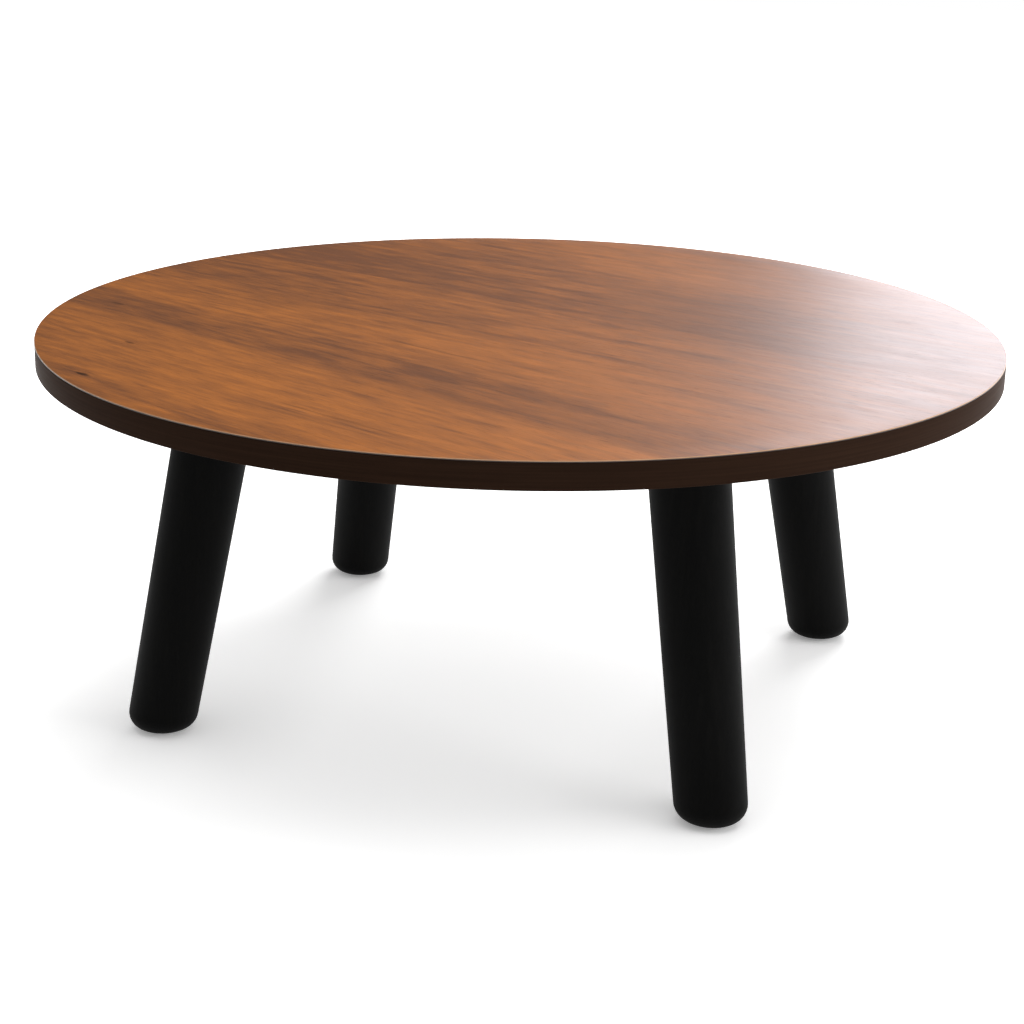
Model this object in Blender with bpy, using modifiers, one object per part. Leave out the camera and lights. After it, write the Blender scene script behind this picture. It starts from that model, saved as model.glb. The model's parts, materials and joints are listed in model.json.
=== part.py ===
"""Low round table: a veneered, edge-banded board on four splayed, tapered legs.

Metres, +Z up. The origin is on the floor under the middle of the board, and the legs stand in a rectangle
whose sides follow X and Y. Each leg has a station: an empty on the board's underside, over the leg's axis,
with its local +X pointing outwards. Whatever belongs to that leg is modelled in the station's frame.
"""

import math

import bmesh
import bpy
from mathutils import Matrix

# Board
TOP_DIAMETER = 0.900
TABLE_HEIGHT = 0.360
TOP_THICKNESS = 0.024
FACE_VENEER = 0.0015
FACE_EDGE_EASE = 0.0005
BACKING_VENEER = 0.0008
BAND_THICKNESS = 0.0025
BAND_EDGE_EASE = 0.0007

# Legs: diameters are square to the leg's axis, at the underside of the board and at the floor
LEG_TOP_DIAMETER = 0.0712
LEG_FOOT_DIAMETER = 0.0634
LEG_INSET = 0.161
LEG_BEARING = math.radians(42.1)
LEG_SPLAY = math.radians(11.4)
LEG_HEAD_ROUNDING = 0.0025
LEG_FOOT_ROUNDING = 0.015
PAD_THICKNESS = 0.002
PAD_INSET = 0.003

# Leg plates, and the room that a key needs between a leg and a bolt's head
PLATE_THICKNESS = 0.004
PLATE_CORNER_RADIUS = 0.010
PLATE_MARGIN = 0.008
KEY_CLEARANCE = 0.014

# Bolts through the plates into threaded inserts
BOLT_COUNT = 4
BOLT_DIAMETER = 0.006
BOLT_HEAD_DIAMETER = 0.0105
BOLT_HEAD_HEIGHT = 0.0033
BOLT_HEAD_LAND = 0.0008
BOLT_CROWN_DIAMETER = 0.0072
BOLT_SOCKET_WIDTH = 0.004
BOLT_SOCKET_DEPTH = 0.002
BOLT_HOLE_CLEARANCE = 0.0005
BOLT_TIP_SETBACK = 0.002
INSERT_DIAMETER = 0.010
INSERT_COVER = 0.008

# Countersunk screws through the plates into the legs
SCREW_COUNT = 3
SCREW_DIAMETER = 0.005
SCREW_LENGTH = 0.050
SCREW_TIP = 0.007
SCREW_HEAD_DIAMETER = 0.0098
SCREW_HEAD_LAND = 0.0005
SCREW_SOCKET_WIDTH = 0.004
SCREW_SOCKET_DEPTH = 0.002
SCREW_EDGE_DISTANCE = 0.017

# Working clearances: touching pieces keep SEAT_GAP, and a cutter reaches past the wall by OVERRUN
SEAT_GAP = 0.0003
OVERRUN = 0.040
WELD = 0.00001

# Sides of the round pieces
TOP_SIDES = 96
LEG_SIDES = 32
PAD_SIDES = 24
FASTENER_SIDES = 10
HEX_SIDES = 6
LEG_HEAD_SEGMENTS = 2
LEG_FOOT_SEGMENTS = 5
PLATE_CORNER_SEGMENTS = 3
EDGE_ANGLE = math.radians(40.0)

# Worked out from the sizes above
TOP_RADIUS = TOP_DIAMETER / 2
UNDERSIDE = TABLE_HEIGHT - TOP_THICKNESS
BAND_TOP = TABLE_HEIGHT - FACE_VENEER - SEAT_GAP
BAND_INNER_RADIUS = TOP_RADIUS - BAND_THICKNESS
CORE_RADIUS = BAND_INNER_RADIUS - SEAT_GAP
CORE_BOTTOM = UNDERSIDE + BACKING_VENEER + SEAT_GAP
CORE_THICKNESS = BAND_TOP - CORE_BOTTOM
LEG_CIRCLE_RADIUS = TOP_RADIUS - LEG_INSET
LEG_SPREAD = UNDERSIDE * math.tan(LEG_SPLAY)
PAD_RADIUS = LEG_FOOT_DIAMETER / 2 - LEG_FOOT_ROUNDING - PAD_INSET
INSERT_LENGTH = CORE_THICKNESS - INSERT_COVER
BOLT_HOLE_RADIUS = BOLT_DIAMETER / 2 + BOLT_HOLE_CLEARANCE
BOLT_CIRCLE_RADIUS = (
    LEG_TOP_DIAMETER / 2 / math.cos(LEG_SPLAY) + KEY_CLEARANCE + BOLT_HEAD_DIAMETER / 2
)
BOLT_PITCH = BOLT_CIRCLE_RADIUS * math.sqrt(2)
PLATE_SIDE = BOLT_PITCH + BOLT_HEAD_DIAMETER + 2 * PLATE_MARGIN
SCREW_CIRCLE_RADIUS = LEG_TOP_DIAMETER / 2 - SCREW_EDGE_DISTANCE

# Heights in a leg station's frame, where 0 is the underside of the board
PLATE_TOP = -SEAT_GAP
PLATE_BOTTOM = PLATE_TOP - PLATE_THICKNESS
LEG_TOP = PLATE_BOTTOM - SEAT_GAP
FLOOR = -UNDERSIDE
LEG_BOTTOM = FLOOR + PAD_THICKNESS + SEAT_GAP
INSERT_BOTTOM = BACKING_VENEER + SEAT_GAP
BOLT_SEAT = PLATE_BOTTOM - SEAT_GAP

# A pad's middle, under the point where the leg's axis passes half-way up the foot's rounding
PAD_REACH = -(LEG_BOTTOM + LEG_FOOT_ROUNDING / 2) * math.tan(LEG_SPLAY)

CORNERS = {
    "front_left": (-1, -1),
    "front_right": (1, -1),
    "back_right": (1, 1),
    "back_left": (-1, 1),
}


def clear_scene():
    for obj in list(bpy.data.objects):
        bpy.data.objects.remove(obj)


def new_collection(name, parent):
    collection = bpy.data.collections.new(name)
    parent.children.link(collection)
    return collection


def new_material(name, color, roughness, metallic=0.0):
    material = bpy.data.materials.new(name)
    material.use_nodes = True
    shader = material.node_tree.nodes["Principled BSDF"]
    shader.inputs["Base Color"].default_value = (*color, 1.0)
    shader.inputs["Roughness"].default_value = roughness
    shader.inputs["Metallic"].default_value = metallic
    return material


def turned(name, profile, sides, collection, closed=False):
    """An object turned about Z from (radius, height) points that run down the outer side."""
    count = len(profile)
    edges = [(i, i + 1) for i in range(count - 1)]
    if closed:
        edges.append((count - 1, 0))
    mesh = bpy.data.meshes.new(name)
    mesh.from_pydata([(radius, 0, height) for radius, height in profile], edges, [])
    obj = bpy.data.objects.new(name, mesh)
    collection.objects.link(obj)
    screw = obj.modifiers.new("Turn", "SCREW")
    screw.axis = "Z"
    screw.steps = sides
    screw.render_steps = sides
    screw.use_merge_vertices = True
    screw.merge_threshold = WELD
    return obj


def disc_profile(radius, bottom, top, ease_top=0.0):
    """A disc's profile, with a chamfer on its upper edge where an ease is given."""
    points = [(0, top), (radius - ease_top, top)]
    if ease_top:
        points.append((radius, top - ease_top))
    return [*points, (radius, bottom), (0, bottom)]


def sleeve_profile(outer, inner, bottom, top, ease_bottom=0.0):
    """A ring's closed profile, with a chamfer on its lower outer edge where an ease is given."""
    points = [(outer, top)]
    if ease_bottom:
        points.append((outer, bottom + ease_bottom))
    return [*points, (outer - ease_bottom, bottom), (inner, bottom), (inner, top)]


def make_cutter(obj):
    obj.hide_render = True
    obj.display_type = "WIRE"
    return obj


def boolean(obj, other, operation="DIFFERENCE"):
    modifier = obj.modifiers.new(f"{operation.title()} {other.name}", "BOOLEAN")
    modifier.operation = operation
    modifier.solver = "EXACT"
    if isinstance(other, bpy.types.Collection):
        modifier.operand_type = "COLLECTION"
        modifier.collection = other
    else:
        modifier.object = other


def finished_mesh(obj, helpers=()):
    """The evaluated mesh of a model piece that is used several times. The piece and its helpers go."""
    bpy.context.view_layer.update()
    graph = bpy.context.evaluated_depsgraph_get()
    mesh = bpy.data.meshes.new_from_object(obj.evaluated_get(graph))
    mesh.name = obj.name
    work = bmesh.new()
    work.from_mesh(mesh)
    bmesh.ops.remove_doubles(work, verts=work.verts, dist=WELD)
    work.to_mesh(mesh)
    work.free()
    for done in (obj, *helpers):
        bpy.data.objects.remove(done)
    return mesh


def smooth(mesh):
    mesh.shade_smooth()
    mesh.set_sharp_from_angle(angle=EDGE_ANGLE)


def box_shape(side, bottom, top):
    """A square block's bmesh, centred on the station's axis."""
    shape = bmesh.new()
    bmesh.ops.create_cube(shape, size=1.0)
    bmesh.ops.scale(shape, vec=(side, side, top - bottom), verts=shape.verts)
    bmesh.ops.translate(shape, vec=(0, 0, (top + bottom) / 2), verts=shape.verts)
    return shape


def shape_object(name, shape, collection):
    mesh = bpy.data.meshes.new(name)
    shape.to_mesh(mesh)
    shape.free()
    obj = bpy.data.objects.new(name, mesh)
    collection.objects.link(obj)
    return obj


def ring_places(count, radius, start=0.0):
    """Points spaced evenly round a circle in a station's frame."""
    turns = [start + 2 * math.pi * i / count for i in range(count)]
    return [(radius * math.cos(turn), radius * math.sin(turn)) for turn in turns]


def hex_cutter(name, width, depth, mouth, opens, collection):
    """A hexagonal socket, its depth measured from the mouth; opens is 1 upwards and -1 downwards."""
    far = mouth + opens * OVERRUN
    end = mouth - opens * depth
    radius = width / 2 / math.cos(math.pi / HEX_SIDES)
    profile = disc_profile(radius, min(far, end), max(far, end))
    return make_cutter(turned(name, profile, HEX_SIDES, collection))


def screw_profile(grow=0.0, above=0.0):
    """A leg screw's profile, or with grow and above that of the hole that it goes in."""
    head = SCREW_HEAD_DIAMETER / 2 + grow
    shank = SCREW_DIAMETER / 2 + grow
    land = PLATE_TOP - SCREW_HEAD_LAND
    tip = PLATE_TOP - SCREW_LENGTH - grow
    return [
        (0, PLATE_TOP + above),
        (head, PLATE_TOP + above),
        (head, land),
        (shank, land - (head - shank)),
        (shank, tip + SCREW_TIP),
        (0, tip),
    ]


def leg_screw_mesh(work):
    screw = turned("leg_screw", screw_profile(), FASTENER_SIDES, work)
    socket = hex_cutter("screw_socket", SCREW_SOCKET_WIDTH, SCREW_SOCKET_DEPTH, PLATE_TOP, 1, work)
    boolean(screw, socket)
    return finished_mesh(screw, [socket])


def screw_hole_cutters(work):
    cutters = []
    for index, place in enumerate(ring_places(SCREW_COUNT, SCREW_CIRCLE_RADIUS), 1):
        profile = screw_profile(SEAT_GAP, OVERRUN)
        cutter = make_cutter(turned(f"screw_hole_{index}", profile, FASTENER_SIDES, work))
        cutter.location = (*place, 0)
        cutters.append(cutter)
    return cutters


def plate_bolt_mesh(work):
    """A button-head bolt that points up, with its socket below."""
    top = INSERT_BOTTOM + INSERT_LENGTH - BOLT_TIP_SETBACK
    shank = BOLT_DIAMETER / 2
    head = BOLT_HEAD_DIAMETER / 2
    base = BOLT_SEAT - BOLT_HEAD_HEIGHT
    profile = [
        (0, top),
        (shank, top),
        (shank, BOLT_SEAT),
        (head, BOLT_SEAT),
        (head, BOLT_SEAT - BOLT_HEAD_LAND),
        (BOLT_CROWN_DIAMETER / 2, base),
        (0, base),
    ]
    bolt = turned("plate_bolt", profile, FASTENER_SIDES, work)
    socket = hex_cutter("bolt_socket", BOLT_SOCKET_WIDTH, BOLT_SOCKET_DEPTH, base, -1, work)
    boolean(bolt, socket)
    return finished_mesh(bolt, [socket])


def insert_mesh(work):
    profile = sleeve_profile(
        INSERT_DIAMETER / 2,
        BOLT_DIAMETER / 2 + SEAT_GAP,
        INSERT_BOTTOM,
        INSERT_BOTTOM + INSERT_LENGTH,
    )
    return finished_mesh(turned("insert", profile, FASTENER_SIDES, work, closed=True))


def plate_mesh(work):
    """The square plate, round at its corners, with bolt holes and countersunk screw holes."""
    blank = box_shape(PLATE_SIDE, PLATE_BOTTOM, PLATE_TOP)
    uprights = [edge for edge in blank.edges if edge.verts[0].co.xy == edge.verts[1].co.xy]
    bmesh.ops.bevel(
        blank,
        geom=uprights,
        offset=PLATE_CORNER_RADIUS,
        segments=PLATE_CORNER_SEGMENTS,
        profile=0.5,
        affect="EDGES",
    )
    plate = shape_object("leg_plate", blank, work)
    cutters = screw_hole_cutters(work)
    for index, place in enumerate(bolt_places(), 1):
        profile = disc_profile(BOLT_HOLE_RADIUS, PLATE_BOTTOM - OVERRUN, PLATE_TOP + OVERRUN)
        cutter = make_cutter(turned(f"bolt_hole_{index}", profile, FASTENER_SIDES, work))
        cutter.location = (*place, 0)
        cutters.append(cutter)
    for cutter in cutters:
        boolean(plate, cutter)
    return finished_mesh(plate, cutters)


def round_level_cut(shape, height, radius, segments):
    """Rounds the edge all round a level cut."""
    cut = [
        edge
        for edge in shape.edges
        if all(abs(corner.co.z - height) < WELD for corner in edge.verts)
        and edge.calc_face_angle() > EDGE_ANGLE
    ]
    bmesh.ops.bevel(shape, geom=cut, offset=radius, segments=segments, profile=0.5, affect="EDGES")


def leg_mesh(work):
    """A turned, tapered blank on its splayed axis, cut level at both ends, rounded there and drilled."""
    axis_length = UNDERSIDE / math.cos(LEG_SPLAY)
    flare = (LEG_TOP_DIAMETER - LEG_FOOT_DIAMETER) / 2 / axis_length
    top_radius = LEG_TOP_DIAMETER / 2 + flare * OVERRUN
    foot_radius = LEG_FOOT_DIAMETER / 2 - flare * OVERRUN
    profile = [
        (0, OVERRUN),
        (top_radius, OVERRUN),
        (foot_radius, -axis_length - OVERRUN),
        (0, -axis_length - OVERRUN),
    ]
    blank = turned("leg_blank", profile, LEG_SIDES, work)
    blank.rotation_euler = (0, -LEG_SPLAY, 0)
    reach = LEG_TOP_DIAMETER + LEG_SPREAD + OVERRUN
    slab = make_cutter(shape_object("leg_slab", box_shape(2 * reach, LEG_BOTTOM, LEG_TOP), work))
    boolean(blank, slab, "INTERSECT")
    cut = finished_mesh(blank, [slab])
    cut.transform(Matrix.Rotation(-LEG_SPLAY, 4, "Y"))

    shape = bmesh.new()
    shape.from_mesh(cut)
    round_level_cut(shape, LEG_TOP, LEG_HEAD_ROUNDING, LEG_HEAD_SEGMENTS)
    round_level_cut(shape, LEG_BOTTOM, LEG_FOOT_ROUNDING, LEG_FOOT_SEGMENTS)
    leg = shape_object("leg", shape, work)
    cutters = screw_hole_cutters(work)
    for cutter in cutters:
        boolean(leg, cutter)
    return finished_mesh(leg, cutters)


def foot_pad_mesh(work):
    """A felt disc that stands on the floor under the flat of the foot."""
    profile = disc_profile(PAD_RADIUS, FLOOR, FLOOR + PAD_THICKNESS)
    mesh = finished_mesh(turned("foot_pad", profile, PAD_SIDES, work))
    mesh.transform(Matrix.Translation((PAD_REACH, 0, 0)))
    return mesh


def bolt_places():
    """Bolt centres in a station's frame, at the corners of a square."""
    return ring_places(BOLT_COUNT, BOLT_CIRCLE_RADIUS, math.pi / BOLT_COUNT)


def make_station(corner, sides, collection):
    """The empty that carries one leg's pieces."""
    side_x, side_y = sides
    bearing = math.atan2(side_y * math.sin(LEG_BEARING), side_x * math.cos(LEG_BEARING))
    station = bpy.data.objects.new(f"station_{corner}", None)
    station.location = (
        LEG_CIRCLE_RADIUS * math.cos(bearing),
        LEG_CIRCLE_RADIUS * math.sin(bearing),
        UNDERSIDE,
    )
    station.rotation_euler = (0, 0, bearing)
    collection.objects.link(station)
    return station


def place(name, mesh, station, collection, at=(0, 0)):
    """A copy of a mesh on a station, in the station's frame."""
    obj = bpy.data.objects.new(name, mesh)
    obj.parent = station
    obj.location = (*at, 0)
    collection.objects.link(obj)
    return obj


def dressed(mesh, material):
    mesh.materials.clear()
    mesh.materials.append(material)
    smooth(mesh)
    return mesh


def make_board(materials, parts, pockets, bolt_ways):
    """The face veneer, core, backing and edge band, with the core and backing cut for the bolts."""
    veneer = turned(
        "top_veneer",
        disc_profile(TOP_RADIUS, TABLE_HEIGHT - FACE_VENEER, TABLE_HEIGHT, FACE_EDGE_EASE),
        TOP_SIDES,
        parts,
    )
    band = turned(
        "edge_band",
        sleeve_profile(TOP_RADIUS, BAND_INNER_RADIUS, UNDERSIDE, BAND_TOP, BAND_EDGE_EASE),
        TOP_SIDES,
        parts,
        closed=True,
    )
    core = turned("top_core", disc_profile(CORE_RADIUS, CORE_BOTTOM, BAND_TOP), TOP_SIDES, parts)
    boolean(core, pockets)
    backing_profile = disc_profile(CORE_RADIUS, UNDERSIDE, UNDERSIDE + BACKING_VENEER)
    backing = turned("backing_veneer", backing_profile, TOP_SIDES, parts)
    boolean(backing, bolt_ways)
    veneer.data.materials.append(materials["veneer"])
    band.data.materials.append(materials["band"])
    core.data.materials.append(materials["core"])
    backing.data.materials.append(materials["band"])


def make_materials():
    return {
        "veneer": new_material("walnut_veneer", (0.36, 0.15, 0.055), 0.42),
        "band": new_material("dark_stained_wood", (0.022, 0.012, 0.009), 0.45),
        "core": new_material("fibreboard", (0.42, 0.29, 0.17), 0.85),
        "leg": new_material("black_lacquered_wood", (0.012, 0.012, 0.012), 0.42),
        "plate": new_material("black_coated_steel", (0.02, 0.02, 0.021), 0.5),
        "fastener": new_material("zinc_plated_steel", (0.55, 0.55, 0.56), 0.35, 1.0),
        "insert": new_material("brass", (0.66, 0.48, 0.2), 0.35, 1.0),
        "felt": new_material("dark_felt", (0.03, 0.028, 0.027), 0.95),
    }


def main():
    clear_scene()
    scene_root = bpy.context.scene.collection
    parts = new_collection("low_round_table", scene_root)
    cutters = new_collection("cutters", scene_root)
    pockets = new_collection("insert_pockets", cutters)
    bolt_ways = new_collection("bolt_ways", cutters)

    materials = make_materials()
    plate = dressed(plate_mesh(cutters), materials["plate"])
    leg = dressed(leg_mesh(cutters), materials["leg"])
    pad = dressed(foot_pad_mesh(cutters), materials["felt"])
    leg_screw = dressed(leg_screw_mesh(cutters), materials["fastener"])
    plate_bolt = dressed(plate_bolt_mesh(cutters), materials["fastener"])
    insert = dressed(insert_mesh(cutters), materials["insert"])

    pocket_profile = disc_profile(
        INSERT_DIAMETER / 2 + SEAT_GAP, -OVERRUN, INSERT_BOTTOM + INSERT_LENGTH + SEAT_GAP
    )
    pocket = finished_mesh(turned("pocket", pocket_profile, FASTENER_SIDES, cutters))
    way_profile = disc_profile(BOLT_HOLE_RADIUS, -OVERRUN, OVERRUN)
    bolt_way = finished_mesh(turned("bolt_way", way_profile, FASTENER_SIDES, cutters))

    for corner, sides in CORNERS.items():
        station = make_station(corner, sides, parts)
        place(f"leg_plate_{corner}", plate, station, parts)
        place(f"leg_{corner}", leg, station, parts)
        place(f"foot_pad_{corner}", pad, station, parts)
        for index, at in enumerate(ring_places(SCREW_COUNT, SCREW_CIRCLE_RADIUS), 1):
            place(f"leg_screw_{corner}_{index}", leg_screw, station, parts, at)
        for index, at in enumerate(bolt_places(), 1):
            place(f"plate_bolt_{corner}_{index}", plate_bolt, station, parts, at)
            place(f"insert_{corner}_{index}", insert, station, parts, at)
            make_cutter(place(f"pocket_{corner}_{index}", pocket, station, pockets, at))
            make_cutter(place(f"bolt_way_{corner}_{index}", bolt_way, station, bolt_ways, at))

    make_board(materials, parts, pockets, bolt_ways)


main()
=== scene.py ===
"""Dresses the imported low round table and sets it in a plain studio.

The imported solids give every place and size. The classes below build finer meshes over them, give each
finish its procedural material, and add the floor, the lamps and the camera.
"""

from __future__ import annotations

import json
import logging
import math
from dataclasses import dataclass
from enum import Enum
from typing import Callable, Dict, List, Mapping, Optional, Sequence, Tuple, Union

import bmesh
import bpy
from bpy.types import ID, Material, Mesh, Node, NodeSocket, NodeTree, Object
from mathutils import Matrix, Vector

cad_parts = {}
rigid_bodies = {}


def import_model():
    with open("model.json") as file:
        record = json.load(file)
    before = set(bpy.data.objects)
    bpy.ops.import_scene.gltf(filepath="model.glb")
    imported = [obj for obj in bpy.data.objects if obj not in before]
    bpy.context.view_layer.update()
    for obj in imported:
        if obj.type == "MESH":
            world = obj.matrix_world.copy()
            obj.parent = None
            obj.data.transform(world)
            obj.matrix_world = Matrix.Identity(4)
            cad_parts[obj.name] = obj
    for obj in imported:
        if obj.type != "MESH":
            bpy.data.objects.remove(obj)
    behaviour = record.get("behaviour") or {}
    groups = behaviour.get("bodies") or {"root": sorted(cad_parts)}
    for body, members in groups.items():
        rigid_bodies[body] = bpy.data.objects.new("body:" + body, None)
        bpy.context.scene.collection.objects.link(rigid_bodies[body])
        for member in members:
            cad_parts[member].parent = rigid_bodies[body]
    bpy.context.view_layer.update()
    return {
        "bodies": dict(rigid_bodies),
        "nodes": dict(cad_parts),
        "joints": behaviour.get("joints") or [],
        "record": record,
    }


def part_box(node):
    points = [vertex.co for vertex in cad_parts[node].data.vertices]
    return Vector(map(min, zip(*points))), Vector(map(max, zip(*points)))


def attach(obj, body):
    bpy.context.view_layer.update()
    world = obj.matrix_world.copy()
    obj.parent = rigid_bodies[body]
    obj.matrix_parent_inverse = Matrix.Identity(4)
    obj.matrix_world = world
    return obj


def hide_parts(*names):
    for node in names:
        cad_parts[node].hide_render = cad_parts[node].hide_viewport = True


LOG = logging.getLogger("low_table")
BODY = "root"
SMOOTH_UP_TO = math.radians(32.0)
QUARTER_TURN = math.pi / 2.0
FULL_TURN = math.pi * 2.0
DOUBLES_WITHIN = 1e-7

# Watts of a rectangular lamp, for each square metre and unit of radiance
LAMP_WATTS = 4.0

Triple = Tuple[float, float, float]
Colour = Triple
Point = Tuple[float, float]
Step = Tuple[float, float]
Key = Union[str, int]
Sockets = Optional[Mapping[Key, object]]
Packed = Mapping[str, Dict[str, Object]]

WHITE: Colour = (1.0, 1.0, 1.0)


class Slot(Enum):
    """The record's material slots."""

    FACE_VENEER = "face_veneer"
    BOARD_CORE = "board_core"
    DARK_WOOD = "dark_wood"
    BLACK_LACQUER = "black_lacquer"
    COATED_STEEL = "coated_steel"
    ZINC_STEEL = "zinc_steel"
    BRASS = "brass"
    FELT = "felt"


class Corner(Enum):
    """The corners at which the legs stand."""

    FRONT_LEFT = "front_left"
    FRONT_RIGHT = "front_right"
    BACK_RIGHT = "back_right"
    BACK_LEFT = "back_left"


class Input(Enum):
    """The kinds of input that a mesh recipe takes."""

    NUMBER = "NodeSocketFloat"
    COUNT = "NodeSocketInt"
    VECTOR = "NodeSocketVector"
    OBJECT = "NodeSocketObject"
    MATERIAL = "NodeSocketMaterial"


class Glow(Enum):
    """What a lamp does: it lights surfaces, or is seen mirrored in them."""

    MATT = "matt"
    MIRRORED = "mirrored"


@dataclass(frozen=True)
class Pattern:
    """Cloudy noise, and how strongly it works on a finish's tone, roughness and relief."""

    scale: Triple
    detail: float
    tone: float = 0.0
    rough: float = 0.0
    relief: float = 0.0


def arithmetic(operation: str, swapped: bool = False) -> Callable[[Value, Operand], Value]:
    """Makes an arithmetic method that adds one Math node.

    Args:
        operation: What the node does.
        swapped: Whether the other operand comes first.

    Returns:
        The method.
    """

    def method(self: Value, other: Operand) -> Value:
        """One Math node on this value and another."""
        operands = (other, self) if swapped else (self, other)
        return self.graph.maths(operation, *operands)

    return method


class Value:
    """The output of a node; arithmetic on it adds Math nodes to the same tree."""

    __add__ = arithmetic("ADD")
    __radd__ = arithmetic("ADD", swapped=True)
    __sub__ = arithmetic("SUBTRACT")
    __rsub__ = arithmetic("SUBTRACT", swapped=True)
    __mul__ = arithmetic("MULTIPLY")
    __rmul__ = arithmetic("MULTIPLY", swapped=True)
    __truediv__ = arithmetic("DIVIDE")

    def __init__(self, graph: Graph, socket: NodeSocket) -> None:
        """Keeps the socket and the graph that it belongs to."""
        self.graph = graph
        self.socket = socket

    def part(self, key: Key) -> Value:
        """Another output of the same node."""
        return Value(self.graph, Graph.find(self.socket.node.outputs, key))


Operand = Union[Value, float, int]


class Graph:
    """A node tree, and the one way in which nodes are added to it."""

    def __init__(self, tree: NodeTree) -> None:
        """Empties the tree that new nodes go into."""
        self.tree = tree
        tree.nodes.clear()

    @staticmethod
    def find(sockets: Sequence[NodeSocket], key: Key) -> NodeSocket:
        """Finds one socket of a node.

        Args:
            sockets: The node's inputs or outputs.
            key: The socket's place, identifier or name.

        Returns:
            The socket.
        """
        if isinstance(key, int):
            return sockets[key]
        for socket in sockets:
            if socket.identifier == key:
                return socket
        return sockets[key]

    def feed(self, socket: NodeSocket, value: object) -> None:
        """Links a value to a socket, or sets it there.

        Args:
            socket: The input to feed.
            value: A Value to link, or a plain number, colour, vector or data block.
        """
        if isinstance(value, Value):
            self.tree.links.new(value.socket, socket)
        elif socket.type == "RGBA":
            socket.default_value = (*value, 1.0)
        else:
            socket.default_value = value

    def node(self, kind: str, sockets: Sockets = None, **settings: object) -> Node:
        """Adds a node.

        Args:
            kind: The node's type.
            sockets: The values or links of its inputs.
            settings: Its settings, which are set first.

        Returns:
            The node.
        """
        node = self.tree.nodes.new(kind)
        for name, setting in settings.items():
            setattr(node, name, setting)
        for key, value in (sockets or {}).items():
            self.feed(self.find(node.inputs, key), value)
        return node

    def add(self, kind: str, sockets: Sockets = None, output: Key = 0, **settings: object) -> Value:
        """Adds a node, as node does, and takes one of its outputs."""
        return Value(self, self.find(self.node(kind, sockets, **settings).outputs, output))

    def maths(self, operation: str, *operands: Operand) -> Value:
        """One Math node on values or numbers."""
        return self.add("ShaderNodeMath", dict(enumerate(operands)), operation=operation)

    def vector(self, x: Operand, y: Operand, z: Operand) -> Value:
        """A vector from its three parts."""
        return self.add("ShaderNodeCombineXYZ", {0: x, 1: y, 2: z})

    def parts(self, vector: Value) -> Tuple[Value, Value, Value]:
        """The three parts of a vector."""
        split = self.add("ShaderNodeSeparateXYZ", {0: vector})
        return split, split.part(1), split.part(2)

    def dot(self, vector: Value, direction: Vector) -> Value:
        """How far a vector points in a direction."""
        sockets = {0: vector, 1: direction}
        return self.add("ShaderNodeVectorMath", sockets, "Value", operation="DOT_PRODUCT")

    def clamped(self, value: Value) -> Value:
        """A value kept between 0 and 1."""
        return self.add("ShaderNodeClamp", {"Value": value})

    def rise(self, value: Operand, low: float, high: float) -> Value:
        """A smooth step from 0 at low to 1 at high."""
        sockets = {"Value": value, "From Min": low, "From Max": high}
        return self.add("ShaderNodeMapRange", sockets, interpolation_type="SMOOTHSTEP")

    def fall(self, value: Operand, low: float, high: float) -> Value:
        """A smooth step from 1 at low to 0 at high."""
        return 1.0 - self.rise(value, low, high)

    def blend(self, terms: Sequence[Tuple[Value, float]]) -> Value:
        """The sum of values, each times its gain; those without a gain are left out."""
        parts = [value * gain for value, gain in terms if gain]
        return sum(parts[1:], parts[0])

    def mix(self, factor: Operand, first: object, second: object) -> Value:
        """A colour between two colours."""
        sockets = {"Factor_Float": factor, "A_Color": first, "B_Color": second}
        return self.add("ShaderNodeMix", sockets, "Result_Color", data_type="RGBA")

    def noise(self, vector: Value, pattern: Pattern) -> Value:
        """Cloudy noise around 0.5.

        Args:
            vector: The point that it is read at.
            pattern: Its scale along each axis, and its detail.

        Returns:
            The noise.
        """
        sockets = {0: vector, 1: pattern.scale}
        stretched = self.add("ShaderNodeVectorMath", sockets, operation="MULTIPLY")
        sockets = {"Vector": stretched, "Scale": 1.0, "Detail": pattern.detail}
        return self.add("ShaderNodeTexNoise", sockets)

    def swing(self, vector: Value, pattern: Pattern) -> Value:
        """Cloudy noise around 0."""
        return self.noise(vector, pattern) - 0.5

    def place(self, turn: float = 0.0) -> Value:
        """The point on the piece, turned about the upright axis."""
        point = self.add("ShaderNodeTexCoord", output="Object")
        return self.add("ShaderNodeMapping", {"Vector": point, "Rotation": (0.0, 0.0, turn)})

    def radius(self) -> Value:
        """The point's distance from the piece's upright axis."""
        x, y, _ = self.parts(self.place())
        return self.maths("SQRT", x * x + y * y)


class Shader(Graph):
    """The node tree of one material, with its surface."""

    def __init__(self, material: Material) -> None:
        """Starts the tree with a surface and an output.

        Args:
            material: The material to build.
        """
        material.use_nodes = True
        super().__init__(material.node_tree)
        self.surface = self.node("ShaderNodeBsdfPrincipled")
        self.node("ShaderNodeOutputMaterial", {"Surface": Value(self, self.surface.outputs[0])})

    def dress(self, sockets: Mapping[str, object]) -> None:
        """Feeds the surface.

        Args:
            sockets: Values, links or constants by the names of the surface's inputs.
        """
        for name, value in sockets.items():
            self.feed(self.surface.inputs[name], value)

    def bump(self, height: Value, strength: float, distance: float) -> Value:
        """A normal from a height pattern."""
        sockets = {"Strength": strength, "Distance": distance, "Height": height}
        return self.add("ShaderNodeBump", sockets)


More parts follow.
